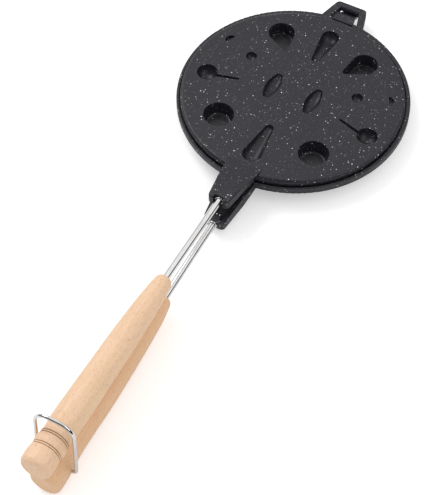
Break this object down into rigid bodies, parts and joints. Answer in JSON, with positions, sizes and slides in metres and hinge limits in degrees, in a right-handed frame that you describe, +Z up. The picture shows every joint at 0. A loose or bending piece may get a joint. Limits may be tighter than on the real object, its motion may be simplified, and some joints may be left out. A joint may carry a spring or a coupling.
{
  "type": "walnut cookie mold",
  "caption": "Hinged round stovetop iron with speckled plates, pressed forms for filled nut biscuits, and long wooden handles locked by a wire bail",
  "frame": {"origin": "middle of the overall box, on the surface that the iron lies on", "axes": "X runs from the hinge at the rim to the handles, Y across the plates, Z up from the table; the plates lean about 1.3 degrees because the iron lies on its far moulds and the end of its lower handle"},
  "size_m": [0.535, 0.2006, 0.0719],
  "materials": {
    "coating": "cast aluminium with a matt charcoal non-stick coating, speckled white and grey",
    "chrome": "bright chrome-plated steel",
    "wood": "pale smooth-sanded beech, waxed"
  },
  "bodies": {
    "lower_half": {"lower_plate": "coating", "lower_rod": "chrome", "lower_rod_collar": "chrome", "lower_handle": "wood"},
    "upper_half": {"upper_plate": "coating", "upper_rod": "chrome", "upper_rod_collar": "chrome", "upper_handle": "wood"},
    "bail": {"handle_bail": "chrome"}
  },
  "joints": [
    {"name": "plate_hinge", "type": "hinge", "parent": "lower_half", "child": "upper_half", "pos_m": [-0.26148, 0, 0.01416], "axis": [0, -1, 0], "range_deg": [-0.85, 105]},
    {"name": "bail_swing", "type": "hinge", "parent": "lower_half", "child": "bail", "pos_m": [0.24134, 0, 0.01324], "axis": [0, 1, 0], "range_deg": [0, 100]}
  ]
}
